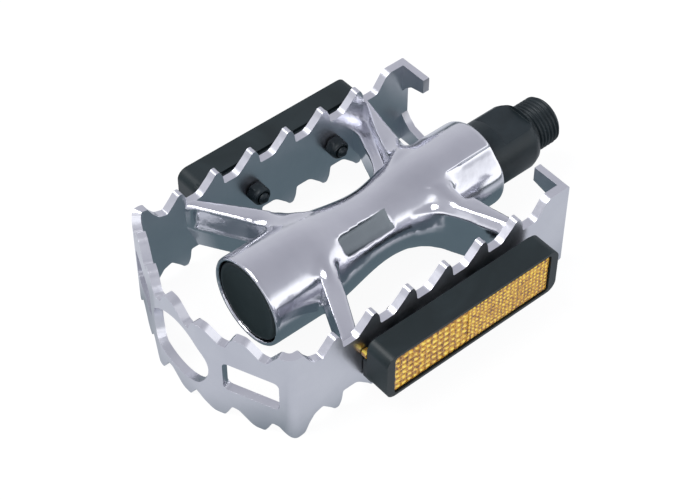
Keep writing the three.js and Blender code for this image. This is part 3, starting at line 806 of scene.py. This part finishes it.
# ---- Spindle: the steel axle the casting turns on ----
# Turned from chromium-molybdenum steel, milled with two wrench flats, threaded 9/16 inch by 20 to the
# inch for the crank, and blacked in a hot oxide bath that leaves a cold blue-green sheen.
THREAD_START = 96.6
THREAD_END = 105.6
THREAD_R = 7.14
THREAD_PITCH = 1.27
THREAD_DEPTH = 0.68
COLLAR_START = 79.6
COLLAR_R = 9.7
FLATS_START = 84.5
FLATS_END = 95.6
ACROSS_FLATS = 15.0


def cut_thread(shape, start, end, radius, pitch, depth):
    """Sinks a helical groove into a turned surface from start to end, and chamfers the end."""
    steepness, crest_width, chamfer_length = 1.3, 0.15, 0.9
    run_in_length = 0.8 * pitch
    for vert in shape.verts:
        x = vert.co.x
        away = math.hypot(vert.co.y, vert.co.z)
        if not start - 1e-4 <= x <= end + 1e-4 or away < radius - 0.1:
            continue
        turn = math.atan2(vert.co.z, vert.co.y) / (2 * math.pi)
        phase = ((x - start) / pitch - turn) % 1.0
        crest = abs(2 * phase - 1)
        sunk = depth * min(1.0, max(0.0, steepness * (1 - crest) - crest_width))
        run_in = min(1.0, (x - start) / run_in_length)
        chamfer = max(0.0, x - (end - chamfer_length))
        narrowed = radius - max(sunk * run_in, chamfer)
        vert.co.y *= narrowed / away
        vert.co.z *= narrowed / away


def blacked_steel():
    """Oxide finish: near black, blue-green at a glance, with faint lathe rings and rubbed patches."""
    surface = Surface("blacked_steel", Metallic=0.2, Specular_IOR_Level=0.45)
    patches = surface.noise(Scale=140.0, Detail=4.0).outputs["Fac"]
    rings = surface.wave("X", Scale=900.0, Distortion=0.6).outputs["Fac"]
    surface.colour(patches, (0.35, (0.006, 0.012, 0.015)), (0.7, (0.013, 0.022, 0.027)))
    surface.roughness(patches, 0.3, 0.5)
    surface.relief(rings, 0.2, 0.00003)
    return surface.material


def thread_blank(start, end, radius, steps):
    """The straight side of a turned outline, in steps fine enough to cut a thread in."""
    return [(start + (end - start) * k / steps, radius) for k in range(steps + 1)]


def axle():
    """The axle from its tail in the outer bearing to the crank thread, with the inner race ground in it."""
    beyond_collar = 13
    thread_line = thread_blank(THREAD_START, THREAD_END, THREAD_R, 64)
    blank = spun([
        (3.9, 0), (3.9, 3.6), (4.5, 4.2), (17, 4.2), (19, 4.9), (66, 5.9), (74, 6.35), (75.6, 7.6),
        (COLLAR_START - 0.3, 7.6), (COLLAR_START, 9.2), (COLLAR_START + 0.5, COLLAR_R), (93.4, COLLAR_R),
        (94.6, 9.35), (95.8, 8.85), (THREAD_START, 8.4), *thread_line, (THREAD_END, 0)])
    plan = rectangle((FLATS_START, -beyond_collar), (FLATS_END, beyond_collar))
    shape = worked(blank, cut=both_ways(lambda: stacked((ACROSS_FLATS / 2, plan), (beyond_collar, plan))))
    collar = [e for e in shape.edges if all(79 < v.co.x < THREAD_START - 0.1 for v in e.verts)]
    soften(shape, 0.16, 24, 2, collar)
    cut_thread(shape, THREAD_START, THREAD_END, THREAD_R, THREAD_PITCH, THREAD_DEPTH)
    return shape


black_oxide = blacked_steel()
spindle = settle(axle(), "spindle_axle")
keep_flats_flat(spindle)
finish_piece(spindle, black_oxide, "spindle", "black_steel", "spindle")


# ---- Cap: the plug in the barrel's outer mouth ----
# Injection-moulded black plastic, pressed in against a step. Its face is dished a little inside a
# narrow raised rim, and it keeps grease in and grit out of the outer bearing.
def moulded_plastic(name, dark, light, gloss_range):
    """Black mouldings: a faint flow pattern in the colour, and a spark-eroded grain."""
    surface = Surface(name, Specular_IOR_Level=0.34)
    flow = surface.noise(Scale=70.0, Detail=3.0, Distortion=0.8).outputs["Fac"]
    grain = surface.noise(Scale=3200.0, Detail=2.0).outputs["Fac"]
    surface.colour(flow, (0.35, dark), (0.7, light))
    surface.roughness(flow, *gloss_range)
    surface.relief(grain, 0.25, 0.00005)
    return surface.material


black_plastic = moulded_plastic("cap_plastic", (0.004, 0.008, 0.0085), (0.01, 0.016, 0.017), (0.26, 0.4))
cap_shape = spun([
    (1.15, 0), (1.1, 5), (0.95, 8.6), (0.7, 9.6), (0.52, 10.1), (0.5, 10.7), (0.62, 11.15), (0.95, 11.42),
    (1.4, 11.5), (6, 11.5), (6, 10.3), (2.6, 10.3), (2.6, 0)])
cap = settle(cap_shape, "barrel_cap")
finish_piece(cap, black_plastic, "pedal", "cap_plastic", "dust_cap")


# ---- Reflector housings ----
# Two black mouldings, one bolted to the outside of each plate: a tray with rounded corners and a thin
# lip about the lens, two round bosses and a foot that stand it off the plate.
REFLECTOR_X = 39.8
HOUSING_SIZE = (58.4, 15.2)
HOUSING_BACK = 34.9
HOUSING_FRONT = 42.6
LENS_SIZE = (52.6, 12.8)
LENS_FACE = 42.5
SEAT = 40.3
PLATE_CLEAR = HALF_WIDTH + 0.3


def slab(outline, near, far, corner=0.0, segments=5):
    """A plate with an outline in (along, up), from one distance out from the axis to another, in front."""
    shape = bmesh.new()
    face = add_face(shape, [(x, -near, z) for x, z in outline])
    if corner:
        round_corners(shape, list(face.verts), corner, segments)
        face = shape.faces[:][0]
    grown = bmesh.ops.extrude_face_region(shape, geom=[face, *face.edges])
    verts = [g for g in grown["geom"] if isinstance(g, bmesh.types.BMVert)]
    bmesh.ops.translate(shape, vec=(0, near - far, 0), verts=verts)
    bmesh.ops.recalc_face_normals(shape, faces=shape.faces)
    return shape


def oblong(size, spare=0.0):
    """The outline of something centred on the reflector, with some to spare all round."""
    half_length = size[0] / 2 + spare
    half_height = size[1] / 2 + spare
    return rectangle((REFLECTOR_X - half_length, -half_height), (REFLECTOR_X + half_length, half_height))


def housing():
    """The front tray, with its rail, foot and bosses towards the plate."""
    body = slab(oblong(HOUSING_SIZE), HOUSING_BACK, HOUSING_FRONT, 3.0, 8)
    back_rail = slab(oblong(HOUSING_SIZE, -0.9), HOUSING_BACK - 0.7, HOUSING_BACK + 1, 2.2, 6)
    foot = slab(rectangle((11.2, -7.3), (16.4, -0.3)), PLATE_CLEAR, HOUSING_BACK + 1, 0.5, 3)
    bosses = [slab(disc(x, 4.2, 40), PLATE_CLEAR, HOUSING_BACK + 1) for x in BOLTS_AT]
    seat = slab(oblong(LENS_SIZE, 0.3), SEAT, HOUSING_FRONT + 1, 1.0, 4)
    holes = [slab(disc(x, BOLT_HOLE_R, 24), HALF_WIDTH - 1, HOUSING_FRONT + 1) for x in BOLTS_AT]
    shape = worked(body, joined=[back_rail, foot, *bosses], cut=[seat, *holes])
    soften(shape, 0.3, 40)
    return shape


def as_drawn(shape):
    return shape


def half_turned(shape):
    bmesh.ops.rotate(shape, cent=(0, 0, 0), matrix=Matrix.Rotation(math.pi, 3, "X"), verts=shape.verts)
    return shape


# What is fixed to the front plate is fixed to the rear one too, half a turn round the spindle.
SIDES = (("front", as_drawn), ("rear", half_turned))

housing_black = moulded_plastic("housing_plastic", (0.006, 0.012, 0.0135), (0.013, 0.022, 0.025), (0.34, 0.5))
for side_name, turned in SIDES:
    tray = settle(turned(housing()), side_name + "_tray")
    keep_flats_flat(tray)
    finish_piece(tray, housing_black, "pedal", "housing_plastic", side_name + "_reflector_housing")


# ---- Reflector lenses ----
# Amber acrylic, glued into the trays. Small pyramids moulded in it throw light back: coarse ones on the
# outer half, finer and shallower ones on the inner half, inside a plain border.
FIELD = 12.0
HALVES_MEET = 38.1


def pyramids(left, right, rows, height):
    """A raised field of near-square cells, each drawn up to a point."""
    sunk_in_pane = 0.3
    shape = bmesh.new()
    cells = round((right - left) / (FIELD / rows))
    bmesh.ops.create_grid(shape, x_segments=cells, y_segments=rows, size=0.5)
    bmesh.ops.scale(shape, vec=(right - left, FIELD, 1), verts=shape.verts)
    bottom = bmesh.ops.extrude_face_region(shape, geom=shape.faces[:] + shape.edges[:])
    lowered = [g for g in bottom["geom"] if isinstance(g, bmesh.types.BMVert)]
    bmesh.ops.translate(shape, vec=(0, 0, -sunk_in_pane), verts=lowered)
    bmesh.ops.recalc_face_normals(shape, faces=shape.faces)
    upper = [f for f in shape.faces if f.calc_center_median().z > -0.01]
    bmesh.ops.poke(shape, faces=upper, offset=height, center_mode="MEAN")
    bmesh.ops.rotate(shape, cent=(0, 0, 0), matrix=Matrix.Rotation(math.pi / 2, 3, "X"), verts=shape.verts)
    bmesh.ops.translate(shape, vec=((left + right) / 2, height - LENS_FACE, 0), verts=shape.verts)
    return shape


def lens():
    """The pane, with a small clip behind its outer end and two fields of pyramids on its face."""
    body = slab(oblong(LENS_SIZE), SEAT + 0.1, LENS_FACE - 0.42, 0.7, 4)
    soften(body, 0.12, 40)
    clip = slab(rectangle((10.6, 1.2), (12.6, 3.2)), PLATE_CLEAR, HOUSING_BACK - 0.4, 0.6, 3)
    for part in (clip, pyramids(14.1, HALVES_MEET, 6, 0.4), pyramids(HALVES_MEET, 65.5, 9, 0.24)):
        mesh = scratch_mesh(part)
        body.from_mesh(mesh)
        bpy.data.meshes.remove(mesh)
    return body


def amber_acrylic():
    """Amber plastic over prisms: a painted gold glint in each cell, brown between, stronger on the outer
    half.
    """
    surface = Surface("amber_acrylic", Roughness=0.14, Specular_IOR_Level=0.6, Coat_Weight=0.5,
                      Coat_Roughness=0.08)
    add, link = surface.add, surface.link
    flecks = surface.noise(Scale=1100.0, Detail=3.0, Roughness=0.7)
    cells = []
    for scale in (157.0, 236.0):
        painted_glints = add("ShaderNodeMath", {"operation": "MULTIPLY"})
        for socket, direction in enumerate("XZ"):
            wave = surface.wave(direction, Scale=scale, Distortion=2.0)
            link(wave.outputs["Fac"], painted_glints.inputs[socket])
        cells.append(painted_glints)
    axes = add("ShaderNodeSeparateXYZ")
    link(surface.place.outputs["Object"], axes.inputs["Vector"])
    blend = 0.6
    inner_half = add("ShaderNodeMapRange", inputs={
        "From Min": barrel_mouth + (HALVES_MEET - blend) / 1000,
        "From Max": barrel_mouth + (HALVES_MEET + blend) / 1000})
    link(axes.outputs["X"], inner_half.inputs["Value"])
    painted_glint_lattice = add("ShaderNodeMix")
    link(inner_half.outputs["Result"], painted_glint_lattice.inputs["Factor"])
    for socket, painted_glints in zip("AB", cells):
        link(painted_glints.outputs["Value"], painted_glint_lattice.inputs[socket])
    level = add("ShaderNodeMath", {"operation": "MULTIPLY_ADD"}, {1: 0.34})
    link(painted_glint_lattice.outputs["Result"], level.inputs[0])
    link(flecks.outputs["Fac"], level.inputs[2])
    # The ramp's gold stops paint the prisms' glints into the base colour.
    surface.colour(level.outputs["Value"], (0.4, (0.16, 0.06, 0.008)), (0.52, (0.42, 0.19, 0.014)),
                   (0.66, (0.66, 0.36, 0.02)), (0.82, (0.95, 0.72, 0.09)))
    return surface.material


amber_plastic = amber_acrylic()
for side_name, turned in SIDES:
    pane = settle(turned(lens()), side_name + "_lens")
    finish_piece(pane, amber_plastic, "pedal", "amber_lens", side_name + "_reflector_lens")
    pane.data.shade_flat()


# ---- Reflector bolts and nuts ----
# Blacked 3.5 mm steel bolts pass out of the trays through the plates. Small chamfered nuts hold them,
# and a few turns of thread stand out beyond each nut.
BOLT_R = 1.75
BOLT_HEAD = 38.5
BOLT_TIP = 24.9
BOLT_PITCH = 0.6
BOLT_THREAD_DEPTH = 0.3
NUT_R = 3.18
NUT_THICK = 2.4


def hexagon(radius):
    return [(radius * math.cos(k * math.pi / 3), radius * math.sin(k * math.pi / 3)) for k in range(6)]


def stand_across(shape, x):
    """Turns a shape drawn along the barrel to run in from the front, at a distance along it."""
    bmesh.ops.rotate(shape, cent=(0, 0, 0), matrix=Matrix.Rotation(math.pi / 2, 3, "Z"), verts=shape.verts)
    bmesh.ops.translate(shape, vec=(x, 0, 0), verts=shape.verts)
    return shape


def bolt(x):
    line = thread_blank(-BOLT_HEAD, -BOLT_TIP, BOLT_R, 60)
    shank = spun([(-BOLT_HEAD, 0), *line, (-BOLT_TIP, 0)], 32)
    cut_thread(shank, -BOLT_HEAD, -BOLT_TIP, BOLT_R, BOLT_PITCH, BOLT_THREAD_DEPTH)
    head = along_barrel(hexagon(NUT_R), -SEAT + 0.3, -37.7)
    return stand_across(worked(head, joined=[shank]), x)


def nut(x):
    """A nut against the plate's inner face, with a round collar on the side away from the plate."""
    seat = WALL + 0.3 - HALF_WIDTH
    top = seat + NUT_THICK
    blank = along_barrel(hexagon(NUT_R), seat, top)
    soften(blank, 0.28, 40)
    collar = spun([(top - 1, 0), (top - 1, 2.75), (top + 0.9, 2.7), (top + 1.4, 2.3), (top + 1.4, 0)], 40)
    hole = along_barrel(disc(0, BOLT_R + 0.1, 24), seat - 1, -20)
    return stand_across(worked(blank, joined=[collar], cut=[hole]), x)


for side_name, turned in SIDES:
    for k, x in enumerate(BOLTS_AT, start=1):
        for make, name, node in ((bolt, "screw", "reflector_bolt"), (nut, "nut", "reflector_nut")):
            fastener = settle(turned(make(x)), f"{side_name}_{name}_{k}")
            keep_flats_flat(fastener)
            finish_piece(fastener, black_oxide, "pedal", "black_bolts", f"{side_name}_{node}_{k}")


# ---- Bearings and seal ----
# Twelve 1/8 inch steel balls run at each end between a pressed cup in the barrel and a cone on the
# spindle. A keyed washer and a lock nut hold the outer cone, and a rubber ring closes the crank end.
def ground_steel(name, dark, light, gloss):
    """Hardened steel, ground: grey with faint straw patches and a fine directional scratch."""
    surface = Surface(name, Metallic=1.0, Roughness=gloss)
    patches = surface.noise(Scale=200.0, Detail=3.0).outputs["Fac"]
    scratches = surface.wave("X", Scale=700.0, Distortion=1.5).outputs["Fac"]
    surface.colour(patches, (0.3, dark), (0.7, light))
    surface.relief(scratches, 0.1, 0.00002)
    return surface.material


# The radius is a hair under 1/16 inch, so that the balls stay clear of their races.
BALLS = 12
BALL_R = 1.55


def ball_ring(along, pitch_radius):
    """Balls spaced evenly round the axle."""
    shape = bmesh.new()
    for k in range(BALLS):
        turn = 2 * math.pi * k / BALLS
        spot = Vector((along, pitch_radius * math.cos(turn), pitch_radius * math.sin(turn)))
        bmesh.ops.create_icosphere(shape, subdivisions=3, radius=BALL_R, matrix=Matrix.Translation(spot))
    return shape


race_steel = ground_steel("race_steel", (0.5, 0.5, 0.49), (0.62, 0.61, 0.58), gloss=0.28)
ball_steel = ground_steel("ball_steel", (0.72, 0.72, 0.72), (0.8, 0.8, 0.79), gloss=0.08)
seal_rubber = moulded_plastic("seal_rubber", (0.012, 0.012, 0.013), (0.025, 0.025, 0.027), (0.6, 0.8))
for end, along, pitch_radius in (("outer", 11.6, 7.5), ("inner", 73.6, 8.2)):
    ring = settle(ball_ring(along, pitch_radius), end + "_ball_ring")
    nodes = [f"{end}_ball_{k:02d}" for k in range(1, BALLS + 1)]
    finish_piece(ring, ball_steel, end + "_balls", "ball_steel", *nodes)

# Each race's outline, (along, radius), with the node it stands for and the body it rides on.
races = {
    "outer_cup": ("outer_bearing_cup", "pedal", [
        (14.2, 6.9), (14.2, 10.1), (13.9, 10.4), (10.5, 10.4), (10.2, 10.1), (10.2, 9.35), (12, 9.35),
        (12.9, 8.9), (13.4, 8.2), (13.4, 6.9)]),
    "inner_cup": ("inner_bearing_cup", "pedal", [
        (70.75, 7.6), (70.75, 10.5), (71.05, 10.8), (74.7, 10.8), (75, 10.5), (75, 10.05), (73.2, 10.05),
        (72.2, 9.6), (71.55, 8.9), (71.55, 7.6)]),
    "cone": ("bearing_cone", "spindle", [
        (8.3, 4.5), (8.3, 6.7), (8.6, 6.95), (9.5, 6.95), (10.3, 6.3), (11.3, 5.65), (13, 5.35), (13, 4.5)]),
}
for name, (node, body, outline) in races.items():
    finish_piece(settle(spun(outline), name), race_steel, body, "bearing_steel", node)

seal_shape = spun([
    (76.4, 10.8), (78.6, 10.8), (78.9, 10.5), (78.9, 8.3), (78.6, 8.05), (78, 8.02), (77.4, 8.3),
    (76.7, 8.25), (76.4, 8.5)])
finish_piece(settle(seal_shape, "crank_end_seal"), seal_rubber, "pedal", "seal_rubber", "inner_dust_seal")


def keyed_ring():
    """A washer with a key on its inner edge, which stops it from turning on the axle."""
    ring_shape = spun([(7.1, 4.5), (7.1, 6.4), (7.3, 6.6), (7.8, 6.6), (8, 6.4), (8, 4.5)])
    key_plan = rectangle((7.1, -0.6), (8, 0.6))
    return worked(ring_shape, joined=[stacked((3.7, key_plan), (5.2, key_plan))])


def chamfered_nut():
    blank = along_barrel(hexagon(6.9), 4.3, 6.8)
    soften(blank, 0.35, 40)
    return worked(blank, cut=[along_barrel(disc(0, 4.5, 48), 3, 8)])


for make, name, node in ((keyed_ring, "tab_washer", "keyed_washer"),
                         (chamfered_nut, "cone_lock_nut", "lock_nut")):
    finish_piece(settle(make(), name), race_steel, "spindle", "bearing_steel", node)
